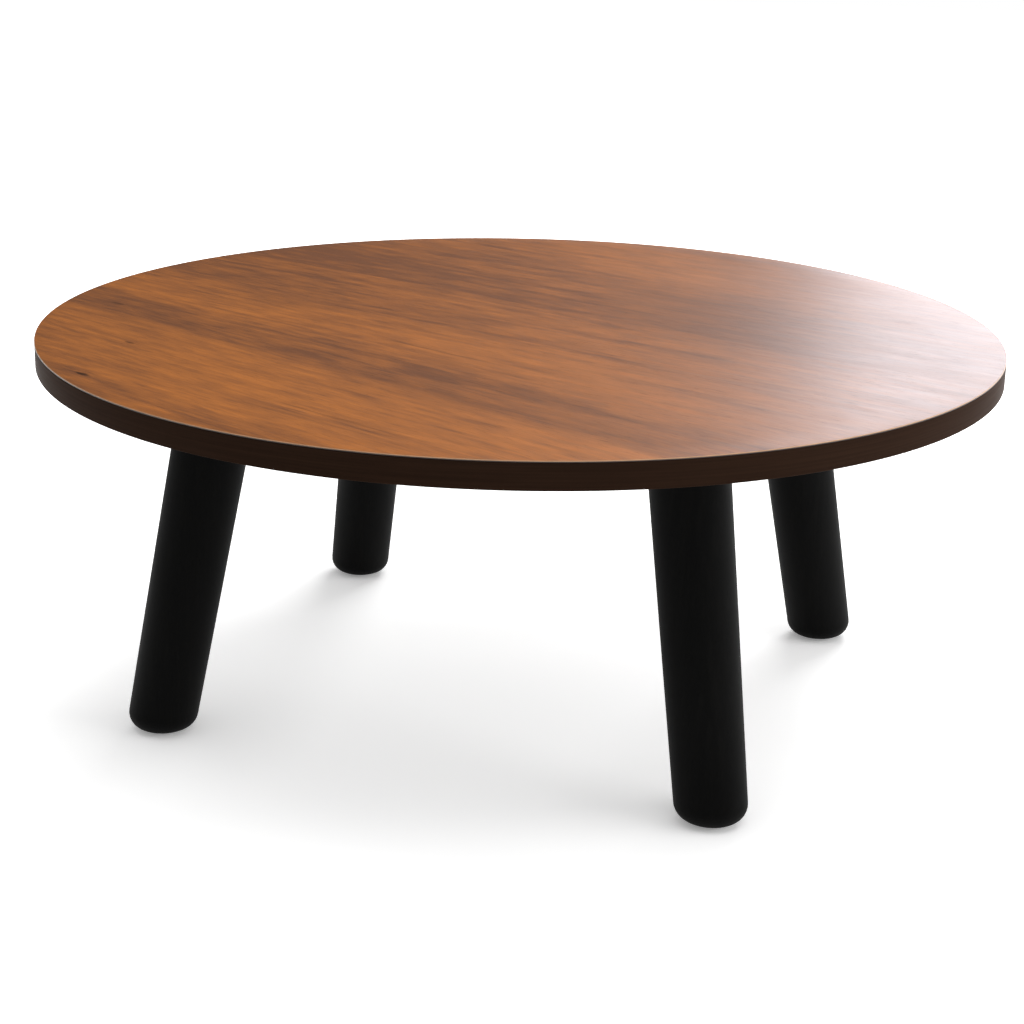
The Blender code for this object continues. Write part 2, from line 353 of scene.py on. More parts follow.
class Recipe(Graph):
    """A geometry node tree with named inputs, run to give a plain mesh."""

    def __init__(self, name: str) -> None:
        """Starts the tree with its entry and its output.

        Args:
            name: The tree's name.
        """
        super().__init__(bpy.data.node_groups.new(name, "GeometryNodeTree"))
        self.tree.interface.new_socket("Geometry", in_out="OUTPUT", socket_type="NodeSocketGeometry")
        self.entry = self.node("NodeGroupInput")

    def input(self, name: str, kind: Input) -> Value:
        """Adds a named input."""
        self.tree.interface.new_socket(name, in_out="INPUT", socket_type=kind.value)
        return Value(self, self.entry.outputs[name])

    def inputs(self, kind: Input, *names: str) -> List[Value]:
        """Adds several named inputs of one kind."""
        return [self.input(name, kind) for name in names]

    def close(self, geometry: Value) -> None:
        """Ends the tree in plain geometry with its finish.

        Args:
            geometry: What the tree has made.
        """
        finish = self.input("Finish", Input.MATERIAL)
        plain = self.add("GeometryNodeRealizeInstances", {"Geometry": geometry})
        dressed = self.add("GeometryNodeSetMaterial", {"Geometry": plain, "Material": finish})
        self.node("NodeGroupOutput", {"Geometry": dressed})

    def run(self, name: str, values: Mapping[str, object], finish: Finish, nodes: Sequence[str]) -> None:
        """Runs the tree and makes its plain mesh a piece of the table.

        Args:
            name: The piece's name.
            values: A value for each named input but the finish.
            finish: The piece's finish.
            nodes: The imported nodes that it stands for.
        """
        given = {**values, "Finish": finish.material()}
        holder = new_object(name, bpy.data.meshes.new(name))
        modifier = holder.modifiers.new(self.tree.name, "NODES")
        modifier.node_group = self.tree
        for item in self.tree.interface.items_tree:
            if item.in_out == "INPUT":
                modifier[item.identifier] = given[item.name]
        add_piece(name, plain_mesh(holder), finish, nodes)


def new_object(name: str, data: ID) -> Object:
    """Puts a mesh, a lamp or a camera into the scene as an object at the origin.

    Args:
        name: The object's name.
        data: Its data block.

    Returns:
        The object.
    """
    thing = bpy.data.objects.new(name, data)
    bpy.context.scene.collection.objects.link(thing)
    return thing


def plain_mesh(holder: Object) -> Mesh:
    """Applies an object's modifiers and removes the object.

    Args:
        holder: The object with its modifiers.

    Returns:
        The mesh that its modifiers give.
    """
    graph = bpy.context.evaluated_depsgraph_get()
    mesh = bpy.data.meshes.new_from_object(holder.evaluated_get(graph), depsgraph=graph)
    mesh.name = holder.name
    bpy.data.objects.remove(holder)
    return mesh


def close_shape(shape: bmesh.types.BMesh, mesh: Mesh) -> Mesh:
    """Writes a closed shape into a mesh, without doubles and with its faces outwards.

    Args:
        shape: The shape, which is freed.
        mesh: The mesh that takes it.

    Returns:
        That mesh.
    """
    bmesh.ops.remove_doubles(shape, verts=shape.verts, dist=DOUBLES_WITHIN)
    bmesh.ops.recalc_face_normals(shape, faces=shape.faces)
    shape.to_mesh(mesh)
    shape.free()
    return mesh


def ring_points(count: int, radius: float, start: float = 0.0) -> List[Point]:
    """Points evenly round a ring."""
    angles = [start + FULL_TURN * index / count for index in range(count)]
    return [(radius * math.cos(a), radius * math.sin(a)) for a in angles]


def lathe(name: str, profile: Sequence[Point], sides: int, closed: bool = False) -> Mesh:
    """Turns a profile about the upright axis.

    Args:
        name: The mesh's name.
        profile: Points of radius and height; an open profile starts and ends on the axis.
        sides: The number of sides of the turned shape.
        closed: Whether the last point joins the first, as in a sleeve.

    Returns:
        The closed mesh.
    """
    shape = bmesh.new()
    rows: List[List[bmesh.types.BMVert]] = []
    for radius, height in profile:
        count = sides if radius > 0.0 else 1
        rows.append([shape.verts.new((x, y, height)) for x, y in ring_points(count, radius)])
    pairs = list(zip(rows, rows[1:]))
    if closed:
        pairs.append((rows[-1], rows[0]))
    for first, second in pairs:
        for index in range(sides):
            following = (index + 1) % sides
            loop = [first[index % len(first)], first[following % len(first)]]
            loop += [second[following % len(second)], second[index % len(second)]]
            corners = list(dict.fromkeys(loop))
            if len(corners) > 2:
                shape.faces.new(corners)
    return close_shape(shape, bpy.data.meshes.new(name))


def rounding(centre: Point, radius: float, start: float, end: float, steps: int) -> List[Point]:
    """Points on a rounded edge of a profile.

    Args:
        centre: The middle of the arc, as radius and height.
        radius: The arc's radius.
        start: The first angle, in radians from the outward direction.
        end: The last angle.
        steps: The number of steps between them.

    Returns:
        The points from start to end.
    """
    angles = [start + (end - start) * step / steps for step in range(steps + 1)]
    return [(centre[0] + radius * math.cos(a), centre[1] + radius * math.sin(a)) for a in angles]


def prism(name: str, outline: Sequence[Point], bottom: float, top: float) -> Mesh:
    """Raises a flat outline to a prism.

    Args:
        name: The mesh's name.
        outline: The corners, in order.
        bottom: The lower height.
        top: The upper height.

    Returns:
        The closed mesh.
    """
    shape = bmesh.new()
    lower = [shape.verts.new((x, y, bottom)) for x, y in outline]
    upper = [shape.verts.new((x, y, top)) for x, y in outline]
    shape.faces.new(lower)
    shape.faces.new(upper)
    for index in range(len(outline)):
        shape.faces.new((lower[index - 1], lower[index], upper[index], upper[index - 1]))
    return close_shape(shape, bpy.data.meshes.new(name))


def carved(mesh: Mesh, cutters: Sequence[Mesh]) -> Mesh:
    """Cuts closed shapes out of a closed mesh.

    Args:
        mesh: The mesh to cut.
        cutters: The shapes to take away.

    Returns:
        What is left.
    """
    holder = new_object(mesh.name, mesh)
    helpers = [new_object(cutter.name, cutter) for cutter in cutters]
    for helper in helpers:
        cut = holder.modifiers.new(helper.name, "BOOLEAN")
        cut.operation = "DIFFERENCE"
        cut.solver = "EXACT"
        cut.object = helper
    result = plain_mesh(holder)
    for helper in helpers:
        bpy.data.objects.remove(helper)
    return result


def moved(mesh: Mesh, place: Vector, turn: float = 0.0) -> Mesh:
    """Turns a mesh about the upright axis, then carries it to a place."""
    mesh.transform(Matrix.Translation(place) @ Matrix.Rotation(turn, 4, "Z"))
    return mesh


def middle(node: str) -> Vector:
    """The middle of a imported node's box."""
    low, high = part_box(node)
    return (low + high) / 2.0


@dataclass(frozen=True)
class Finish:
    """A finish: the name of its material and the record's slot that it belongs to."""

    name: str
    slot: Slot

    def material(self) -> Material:
        """Builds the material on first use.

        Returns:
            The material.
        """
        made = bpy.data.materials.get(self.name)
        if made is None:
            made = bpy.data.materials.new(self.name)
            self.shade(Shader(made))
        return made

    def shade(self, shader: Shader) -> None:
        """Builds the nodes; each finish has its own."""
        raise NotImplementedError


@dataclass(frozen=True)
class TwoTone(Finish):
    """A finish of two colours that a few patterns mix, roughen and raise."""

    first: Colour
    second: Colour
    patterns: Tuple[Pattern, ...]
    step: Step
    roughness: float
    bump: Step
    metallic: float = 0.0
    sheen: float = 0.0

    def shade(self, shader: Shader) -> None:
        """Builds the two tones.

        Args:
            shader: The material's nodes.
        """
        point = shader.place()
        noises = [(pattern, shader.noise(point, pattern)) for pattern in self.patterns]
        tone = shader.blend([(noise, pattern.tone) for pattern, noise in noises])
        rough = shader.blend([(noise - 0.5, pattern.rough) for pattern, noise in noises])
        relief = shader.blend([(noise, pattern.relief) for pattern, noise in noises])
        shader.dress(
            {
                "Base Color": shader.mix(shader.rise(tone, *self.step), self.first, self.second),
                "Roughness": self.roughness + rough,
                "Metallic": self.metallic,
                "Normal": shader.bump(relief, *self.bump),
                "Sheen Weight": self.sheen,
            }
        )


@dataclass(frozen=True)
class PowderCoat(TwoTone):
    """Black powder coat with its fine pebbled skin."""

    first: Colour = (0.016, 0.016, 0.017)
    second: Colour = (0.030, 0.030, 0.031)
    patterns: Tuple[Pattern, ...] = (
        Pattern((1900.0, 1900.0, 1900.0), 2.0, rough=0.25, relief=1.0),
        Pattern((60.0, 60.0, 60.0), 3.0, tone=1.0),
    )
    step: Step = (0.35, 0.70)
    roughness: float = 0.52
    bump: Step = (0.35, 0.0003)


@dataclass(frozen=True)
class PlatedMetal(TwoTone):
    """Plated or turned metal with fine machining marks and duller patches."""

    first: Colour = (0.60, 0.60, 0.61)
    second: Colour = (0.40, 0.40, 0.42)
    patterns: Tuple[Pattern, ...] = (
        Pattern((260.0, 260.0, 5200.0), 2.0, relief=1.0),
        Pattern((320.0, 320.0, 320.0), 3.0, tone=1.0, rough=0.35),
    )
    step: Step = (0.35, 0.68)
    roughness: float = 0.30
    bump: Step = (0.15, 0.0001)
    metallic: float = 1.0


@dataclass(frozen=True)
class PressedFelt(TwoTone):
    """Dark pressed felt with loose fibres."""

    first: Colour = (0.022, 0.020, 0.019)
    second: Colour = (0.075, 0.070, 0.066)
    patterns: Tuple[Pattern, ...] = (
        Pattern((900.0, 2600.0, 2600.0), 3.0, tone=0.5, rough=-0.05, relief=0.5),
        Pattern((2600.0, 900.0, 2600.0), 3.0, tone=0.5, rough=-0.05, relief=0.5),
    )
    step: Step = (0.42, 0.64)
    roughness: float = 0.90
    bump: Step = (0.8, 0.0006)
    sheen: float = 0.25


@dataclass(frozen=True)
class Fibreboard(TwoTone):
    """Bare pressed fibreboard."""

    first: Colour = (0.36, 0.24, 0.14)
    second: Colour = (0.52, 0.38, 0.24)
    patterns: Tuple[Pattern, ...] = (
        Pattern((500.0, 500.0, 1500.0), 4.0, tone=0.7, rough=-0.1, relief=1.0),
        Pattern((12.0, 12.0, 700.0), 2.0, tone=0.3),
    )
    step: Step = (0.36, 0.66)
    roughness: float = 0.83
    bump: Step = (0.5, 0.0005)


@dataclass(frozen=True)
class StainedWood(Finish):
    """Very dark stained wood with its grain along the edge or across the sheet."""

    grain: Pattern = Pattern((7.0, 7.0, 520.0), 4.0, relief=0.7)
    tick: Pattern = Pattern((28.0, 28.0, 2080.0), 2.0, tone=0.2, rough=0.2, relief=0.3)
    cloud: Pattern = Pattern((9.0, 9.0, 9.0), 2.0, tone=0.3)
    grain_step: Step = (0.34, 0.70)
    tick_step: Step = (0.56, 0.70)
    deep: Colour = (0.0225, 0.0114, 0.0070)
    warm: Colour = (0.0290, 0.0146, 0.0087)
    bloom: Colour = (1.0, 0.69, 0.56)
    bloom_weight: float = 0.06
    bloom_roughness: float = 0.5
    roughness: float = 0.44
    bump: Step = (0.05, 0.0006)
    ior: float = 1.45
    shine: float = 0.004

    def shade(self, shader: Shader) -> None:
        """Builds the stained grain.

        Args:
            shader: The material's nodes.
        """
        point = shader.place()
        grain = shader.noise(point, self.grain)
        ticks = shader.noise(point, self.tick)
        cloud = shader.swing(point, self.cloud)
        tone = shader.rise(grain + cloud * self.cloud.tone, *self.grain_step)
        colour = shader.mix(tone, self.deep, self.warm)
        colour = shader.mix(shader.rise(ticks, *self.tick_step) * self.tick.tone, colour, self.deep)
        relief = grain * self.grain.relief + ticks * self.tick.relief
        shader.dress(
            {
                "Base Color": colour,
                "Roughness": self.roughness + (ticks - 0.5) * self.tick.rough,
                "Normal": shader.bump(relief, *self.bump),
                "IOR": self.ior,
                "Specular IOR Level": self.shine,
                "Sheen Weight": self.bloom_weight,
                "Sheen Roughness": self.bloom_roughness,
                "Sheen Tint": self.bloom,
            }
        )


@dataclass(frozen=True)
class BlackLacquer(Finish):
    """Satin black lacquer on turned wood, with a trace of grain and dulled, scuffed foot edges."""

    base: Colour = (0.0008, 0.0008, 0.0007)
    light_grain: Colour = (0.0028, 0.0027, 0.0025)
    scuff: Colour = (0.0280, 0.0255, 0.0235)
    grain: Pattern = Pattern((150.0, 150.0, 6.0), 4.0, rough=0.10, relief=0.6)
    cloud: Pattern = Pattern((14.0, 14.0, 5.0), 2.0, rough=0.16)
    peel: Pattern = Pattern((420.0, 420.0, 420.0), 1.0, relief=0.4)
    rub: Pattern = Pattern((90.0, 90.0, 260.0), 3.0, tone=0.7, rough=0.15)
    grain_step: Step = (0.40, 0.75)
    rub_step: Step = (0.50, 0.66)
    scuff_heights: Step = (0.003, 0.010)
    roughness: float = 0.66
    bump: Step = (0.12, 0.0003)
    ior: float = 1.45
    shine: float = 0.095

    def shade(self, shader: Shader) -> None:
        """Builds the lacquer.

        Args:
            shader: The material's nodes.
        """
        point = shader.place()
        _, _, height = shader.parts(point)
        grain = shader.noise(point, self.grain)
        cloud = shader.swing(point, self.cloud)
        peel = shader.noise(point, self.peel)
        rub = shader.rise(shader.noise(point, self.rub), *self.rub_step)
        worn = shader.fall(height, *self.scuff_heights) * rub
        colour = shader.mix(shader.rise(grain, *self.grain_step), self.base, self.light_grain)
        colour = shader.mix(worn * self.rub.tone, colour, self.scuff)
        rough = [(cloud, self.cloud.rough), (grain - 0.5, self.grain.rough), (worn, self.rub.rough)]
        relief = peel * self.peel.relief + grain * self.grain.relief
        shader.dress(
            {
                "Base Color": colour,
                "Roughness": self.roughness + shader.blend(rough),
                "Normal": shader.bump(relief, *self.bump),
                "IOR": self.ior,
                "Specular IOR Level": self.shine,
            }
        )


@dataclass(frozen=True)
class VeneerBand:
    """A darker run of the veneer, measured across the grain from the board's middle, in metres."""

    start: float
    end: float
    start_fade: float
    end_fade: float
    depth: float


@dataclass(frozen=True)
class GrainMark:
    """A small dark mark in the veneer, drawn out along the grain, in metres."""

    along: float
    across: float
    length: float
    width: float
    depth: float


@dataclass(frozen=True)
class FaceVeneer(Finish):
    """Warm brown veneer: darker bands, streaks, blots, lines, pores, marks, painted side shade and a
    painted arris highlight.
    """

    rim: float
    arris: float
    top: float
    light: Colour = (0.430, 0.146, 0.032)
    dark: Colour = (0.168, 0.066, 0.029)
    # Painted highlight: colour of the pale line along the arris
    pale: Colour = (0.54, 0.32, 0.19)
    stain: Colour = (0.030, 0.015, 0.010)
    mark: Colour = (0.030, 0.014, 0.008)
    grain_turn: float = math.radians(23.5)
    plain_tone: float = 0.73
    wander: Pattern = Pattern((2.2, 7.0, 1.0), 2.0)
    broad: Pattern = Pattern((3.0, 34.0, 1.0), 3.0, tone=0.55)
    streak: Pattern = Pattern((13.0, 160.0, 1.0), 4.0, tone=0.85, rough=0.12, relief=0.3)
    fine: Pattern = Pattern((34.0, 520.0, 1.0), 3.0, tone=0.85, relief=0.5)
    blot: Pattern = Pattern((24.0, 100.0, 1.0), 3.0, tone=0.90)
    line: Pattern = Pattern((3.2, 75.0, 1.0), 2.0, tone=-0.20)
    pore: Pattern = Pattern((75.0, 1300.0, 1.0), 2.0, tone=0.30, rough=0.10, relief=-0.6)
    line_step: Step = (0.58, 0.70)
    pore_step: Step = (0.60, 0.72)
    drift: float = 0.014
    fan: float = 0.09
    fan_step: Step = (-0.30, 0.05)
    streak_fray: float = 0.022
    blot_fray: float = 0.010
    far_across: Step = (-0.22, -0.05)
    far_along: Step = (-0.36, -0.10)
    far_shade: float = 0.14
    near_across: Step = (-0.27, -0.20)
    near_along: Step = (-0.24, 0.02)
    near_shade: float = 0.17
    # Painted shade: a darker side of the veneer, towards where the window lamp's highlight lies, with its
    # edge frayed by the grain
    painted_shade_colour: Colour = (0.085, 0.031, 0.013)
    painted_shade_turn: float = math.radians(-18.5)
    painted_shade_drift: float = 0.25
    painted_shade_fray: float = 0.20
    painted_shade_step: Step = (0.10, 0.42)
    painted_shade_depth: float = 0.62
    painted_shade_tone: float = 0.10
    bands: Tuple[VeneerBand, ...] = (
        VeneerBand(-0.247, -0.163, 0.010, 0.030, 0.47),
        VeneerBand(-0.140, -0.058, 0.030, 0.016, 0.15),
        VeneerBand(-0.058, 0.270, 0.016, 0.120, 0.33),
        VeneerBand(0.080, 0.250, 0.012, 0.090, 0.17),
        VeneerBand(0.270, 0.600, 0.090, 0.010, 0.20),
        VeneerBand(-0.600, -0.402, 0.010, 0.012, 0.22),
    )
    band_change: float = 0.3
    marks: Tuple[GrainMark, ...] = (
        GrainMark(-0.129, -0.410, 0.0100, 0.0036, 0.85),
        GrainMark(-0.194, -0.311, 0.0080, 0.0026, 0.60),
        GrainMark(-0.333, -0.2145, 0.0120, 0.0030, 0.45),
        GrainMark(0.020, -0.130, 0.1000, 0.0020, 0.35),
        GrainMark(0.120, -0.349, 0.0850, 0.0018, 0.30),
    )
    mark_fray: float = 1.5
    mark_step: Step = (0.1, 1.2)
    painted_highlight_shares: Step = (0.9, 0.5)
    stain_shares: Step = (1.4, 1.0)
    roughness: float = 0.40
    bump: Step = (0.10, 0.0004)
    ior: float = 1.47

    def shade(self, shader: Shader) -> None:
        """Builds the bands, streaks, blots, lines, pores, marks, painted side shade and painted arris
        highlight.

        Args:
            shader: The material's nodes.
        """
        point = shader.place(self.grain_turn)
        along, across, height = shader.parts(point)
        wander = shader.swing(point, self.wander)
        rightwards, _, _ = shader.parts(shader.place(self.painted_shade_turn))
        far_left = shader.rise(across, *self.far_across) * shader.fall(along, *self.far_along)
        near_left = shader.fall(across, *self.near_across) * shader.fall(along, *self.near_along)
        spread = along * shader.rise(across, *self.fan_step) * self.fan
        across = across + wander * self.drift - spread
        flow = shader.vector(along, across, height)
        broad = shader.swing(flow, self.broad)
        streak = shader.swing(flow, self.streak)
        fine = shader.swing(flow, self.fine)
        blot = shader.swing(flow, self.blot)
        lines = shader.rise(shader.noise(flow, self.line), *self.line_step)
        pores = shader.rise(shader.noise(flow, self.pore), *self.pore_step)
        # Painted shade: the veneer darkens towards the side on which the window lamp's highlight lies
        painted_shade_edge = rightwards + wander * self.painted_shade_drift + streak * self.painted_shade_fray
        painted_side_shade = shader.rise(painted_shade_edge, *self.painted_shade_step)
        shade = far_left * self.far_shade + near_left * self.near_shade + painted_side_shade * self.painted_shade_tone
        grain = [(broad, self.broad.tone), (streak, self.streak.tone), (fine, self.fine.tone)]
        grain += [(blot, self.blot.tone), (lines, self.line.tone)]
        tone = self.plain_tone - shade + shader.blend(grain)
        frayed = across + streak * self.streak_fray + blot * self.blot_fray
        for band in self.bands:
            entered = shader.rise(frayed, band.start - band.start_fade, band.start + band.start_fade)
            inside = entered * shader.fall(frayed, band.end - band.end_fade, band.end + band.end_fade)
            tone = tone - inside * (1.0 - broad * self.band_change) * band.depth
        colour = shader.mix(shader.clamped(tone), self.dark, self.light)
        # Painted shade: on that side the colour is pulled towards dark brown
        colour = shader.mix(painted_side_shade * self.painted_shade_depth, colour, self.painted_shade_colour)
        colour = shader.mix(pores * self.pore.tone, colour, self.mark)
        for mark in self.marks:
            length = (along - mark.along) / mark.length
            width = (across - mark.across) / mark.width
            reach = length * length + width * width + fine * self.mark_fray
            colour = shader.mix(shader.fall(reach, *self.mark_step) * mark.depth, colour, self.mark)
        # Painted highlight: a pale line just inside the rim on the rounded arris, where light catches the
        # edge; below the top, the veneer's side takes the dark stain
        radii = [self.rim - self.arris * share for share in self.painted_highlight_shares]
        heights = [self.top - self.arris * share for share in self.stain_shares]
        colour = shader.mix(shader.rise(shader.radius(), *radii), colour, self.pale)
        colour = shader.mix(shader.fall(height, *heights), colour, self.stain)
        relief = [(fine, self.fine.relief), (streak, self.streak.relief), (pores, self.pore.relief)]
        shader.dress(
            {
                "Base Color": colour,
                "Roughness": self.roughness + streak * self.streak.rough + pores * self.pore.rough,
                "Normal": shader.bump(shader.blend(relief), *self.bump),
                "IOR": self.ior,
            }
        )


EDGE_WOOD = StainedWood("dark_edge_wood", Slot.DARK_WOOD)
BACKING_WOOD = StainedWood(
    "dark_backing_wood",
    Slot.DARK_WOOD,
    Pattern((6.0, 170.0, 6.0), 4.0, relief=0.7),
    Pattern((24.0, 680.0, 24.0), 2.0, tone=0.2, rough=0.2, relief=0.3),
    roughness=0.55,
)
LEG_LACQUER = BlackLacquer("leg_lacquer", Slot.BLACK_LACQUER)
PLATE_COAT = PowderCoat("plate_powder_coat", Slot.COATED_STEEL)
ZINC = PlatedMetal("zinc_plate", Slot.ZINC_STEEL)
INSERT_BRASS = PlatedMetal(
    "insert_brass", Slot.BRASS, (0.70, 0.50, 0.20), (0.48, 0.32, 0.12), roughness=0.34
)
PAD_FELT = PressedFelt("pad_felt", Slot.FELT)
CORE_BOARD = Fibreboard("core_fibreboard", Slot.BOARD_CORE)


def add_piece(name: str, mesh: Mesh, finish: Finish, nodes: Sequence[str]) -> None:
    """Makes a mesh a finished piece of the table.

    Args:
        name: The piece's name.
        mesh: Its mesh, already in place.
        finish: Its finish.
        nodes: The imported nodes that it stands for.
    """
    shape = bmesh.new()
    shape.from_mesh(mesh)
    close_shape(shape, mesh)
    mesh.materials.clear()
    mesh.materials.append(finish.material())
    mesh.shade_smooth()
    mesh.set_sharp_from_angle(angle=SMOOTH_UP_TO)
    piece = new_object(name, mesh)
    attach(piece, BODY)
    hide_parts(*nodes)
    LOG.info("%s: %d faces, stands for %d nodes", name, len(mesh.polygons), len(nodes))


def dress_node(frame: Packed, node: str, finish: Finish) -> None:
    """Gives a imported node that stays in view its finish.

    Args:
        frame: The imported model.
        node: The node's name.
        finish: Its finish.
    """
    slots = frame["nodes"][node].data.materials
    slots.clear()
    slots.append(finish.material())
    LOG.info("%s: kept, in %s", node, finish.name)


@dataclass
class Board:
    """The round board: face veneer, edge band, core and backing."""

    radius: float
    top: float
    face_bottom: float
    band_bottom: float
    band_top: float
    band_thickness: float = 0.0025
    arris: float = 0.0006
    band_ease: float = 0.0007
    face_rings: Tuple[float, ...] = (0.92, 0.75, 0.5, 0.25)
    sides: int = 288
    round_steps: int = 4

    @classmethod
    def from_frame(cls) -> Board:
        """Takes the board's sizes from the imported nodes.

        Returns:
            The board.
        """
        face_low, face_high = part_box("top_veneer")
        band_low, band_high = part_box("edge_band")
        return cls(face_high.x, face_high.z, face_low.z, band_low.z, band_high.z)

    def build_face(self) -> None:
        """Builds the face veneer, with rings of faces and a rounded arris."""
        profile: List[Point] = [(0.0, self.face_bottom), (self.radius, self.face_bottom)]
        centre = (self.radius - self.arris, self.top - self.arris)
        profile += rounding(centre, self.arris, 0.0, QUARTER_TURN, self.round_steps)
        profile += [(self.radius * share, self.top) for share in self.face_rings]
        profile.append((0.0, self.top))
        finish = FaceVeneer("face_veneer_wood", Slot.FACE_VENEER, self.radius, self.arris, self.top)
        add_piece("face_sheet", lathe("face_sheet", profile, self.sides), finish, ["top_veneer"])

    @staticmethod
    def band_recipe() -> Recipe:
        """Builds the tree that bends an eased strip round a circle.

        Returns:
            The tree.
        """
        recipe = Recipe("bent_edge_strip")
        radius, thickness, ease = recipe.inputs(Input.NUMBER, "Outer Radius", "Thickness", "Edge Ease")
        bottom, top = recipe.inputs(Input.NUMBER, "Bottom", "Top")
        sides, steps = recipe.inputs(Input.COUNT, "Sides", "Edge Steps")
        sockets = {"Resolution": sides, "Radius": radius - thickness * 0.5}
        path = recipe.add("GeometryNodeCurvePrimitiveCircle", sockets, mode="RADIUS")
        sockets = {"Width": thickness, "Height": top - bottom}
        strip = recipe.add("GeometryNodeCurvePrimitiveQuadrilateral", sockets)
        sockets = {"Curve": strip, "Count": steps, "Radius": ease, "Limit Radius": True}
        eased = recipe.add("GeometryNodeFilletCurve", sockets, mode="POLY")
        bent = recipe.add("GeometryNodeCurveToMesh", {"Curve": path, "Profile Curve": eased})
        lift = recipe.vector(0.0, 0.0, (top + bottom) * 0.5)
        recipe.close(recipe.add("GeometryNodeSetPosition", {"Geometry": bent, "Offset": lift}))
        return recipe

    def build_band(self) -> None:
        """Builds the dark edge band."""
        values = {
            "Outer Radius": self.radius,
            "Thickness": self.band_thickness,
            "Bottom": self.band_bottom,
            "Top": self.band_top,
            "Edge Ease": self.band_ease,
            "Sides": self.sides,
            "Edge Steps": self.round_steps,
        }
        self.band_recipe().run("edge_strip", values, EDGE_WOOD, ["edge_band"])

    def build(self, frame: Packed) -> None:
        """Builds and dresses the board.

        Args:
            frame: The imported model.
        """
        self.build_face()
        self.build_band()
        dress_node(frame, "top_core", CORE_BOARD)
        dress_node(frame, "backing_veneer", BACKING_WOOD)


@dataclass
class LegSet:
    """The four turned, tapered and splayed legs, rounded at their feet."""

    board_height: float
    head_radius: float = 0.0712 / 2.0
    foot_radius: float = 0.0634 / 2.0
    head_rounding: float = 0.0025
    foot_rounding: float = 0.015
    sides: int = 96
    edge_rows: int = 9

    def recipe(self) -> Recipe:
        """Builds the tree that turns a tapered leg on its leaning axis, level and rounded at both ends.

        Returns:
            The tree.
        """
        recipe = Recipe("turned_leg")
        head, foot = recipe.inputs(Input.VECTOR, "Head Place", "Foot Place")
        bottom, top = recipe.inputs(Input.NUMBER, "Lower Cut", "Upper Cut")
        head_radius, foot_radius = recipe.inputs(Input.NUMBER, "Head Radius", "Foot Radius")
        head_rounding, foot_rounding = recipe.inputs(Input.NUMBER, "Head Rounding", "Foot Rounding")
        rows, sides = recipe.inputs(Input.COUNT, "Edge Rows", "Sides")
        line = recipe.add("GeometryNodeCurvePrimitiveLine", {"End": (0.0, 0.0, 1.0)})
        line = recipe.add("GeometryNodeResampleCurve", {"Curve": line, "Count": rows * 2})
        sockets = {"Resolution": sides, "Radius": 1.0}
        ring = recipe.add("GeometryNodeCurvePrimitiveCircle", sockets, mode="RADIUS")
        sockets = {"Curve": line, "Profile Curve": ring, "Fill Caps": True}
        tube = recipe.add("GeometryNodeCurveToMesh", sockets)

        _, _, share = recipe.parts(recipe.add("GeometryNodeInputPosition"))
        upper = recipe.maths("GREATER_THAN", share, 0.5)
        from_end = share + upper * (1.0 - share * 2.0)
        turn = recipe.clamped(from_end * (rows * 2 - 1) / (rows - 1))
        edge = foot_rounding + (head_rounding - foot_rounding) * upper
        facing = upper * 2.0 - 1.0
        centre = bottom + (top - bottom) * upper - facing * edge
        _, _, board = recipe.parts(head)
        core = foot_radius + (head_radius - foot_radius) * centre / board - edge
        place = self.rolled(recipe, (head, foot), (core, edge, centre), (turn, facing))
        recipe.close(recipe.add("GeometryNodeSetPosition", {"Geometry": tube, "Position": place}))
        return recipe

    @staticmethod
    def rolled(
        recipe: Recipe,
        axis: Tuple[Value, Value],
        ball: Tuple[Value, Value, Value],
        roll: Tuple[Value, Value],
    ) -> Value:
        """Rolls a ball round the inside of a leaning leg's end, and takes the points that it touches.

        Args:
            recipe: The tree, whose geometry is a tube of radius 1.
            axis: The head and the foot of the leg's axis.
            ball: The radius of the ring on which the ball rolls, the ball's own radius and its height.
            roll: The way from the end, 0, to the leg's side, 1, and 1 at the head or -1 at the foot.

        Returns:
            The place of each point.
        """
        across, beside, _ = recipe.parts(recipe.add("GeometryNodeInputPosition"))
        head_x, head_y, head_z = recipe.parts(axis[0])
        foot_x, foot_y, foot_z = recipe.parts(axis[1])
        core, edge, centre = ball
        turn, facing = roll
        lean_x = (head_x - foot_x) / (head_z - foot_z)
        lean_y = (head_y - foot_y) / (head_z - foot_z)
        slope = recipe.maths("SQRT", lean_x * lean_x + lean_y * lean_y)
        stretch = recipe.maths("SQRT", 1.0 + slope * slope)
        tilt = across * slope / stretch
        angle = recipe.maths("ARCCOSINE", facing * tilt)
        to_end = recipe.maths("SINE", (1.0 - turn) * angle) / recipe.maths("SINE", angle)
        to_side = recipe.maths("SINE", turn * angle) / recipe.maths("SINE", angle)
        out = across * (core * stretch + edge * to_side / stretch)
        side = beside * (core + edge * to_side)
        climb = centre - foot_z
        x = foot_x + lean_x * climb - (lean_x * out - lean_y * side) / slope
        y = foot_y + lean_y * climb - (lean_y * out + lean_x * side) / slope
        return recipe.vector(x, y, centre + edge * (facing * to_end + tilt * to_side))

    def build(self) -> None:
        """Builds the legs, each from its plate to its pad."""
        recipe = self.recipe()
        for corner in Corner:
            node = f"leg_{corner.value}"
            low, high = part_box(node)
            head = middle(f"leg_plate_{corner.value}")
            foot = middle(f"foot_pad_{corner.value}")
            values = {
                "Head Place": (head.x, head.y, self.board_height),
                "Foot Place": (foot.x, foot.y, low.z + self.foot_rounding / 2.0),
                "Lower Cut": low.z,
                "Upper Cut": high.z,
                "Head Radius": self.head_radius,
                "Foot Radius": self.foot_radius,
                "Head Rounding": self.head_rounding,
                "Foot Rounding": self.foot_rounding,
                "Edge Rows": self.edge_rows,
                "Sides": self.sides,
            }
            recipe.run(f"turned_leg_{corner.value}", values, LEG_LACQUER, [node])


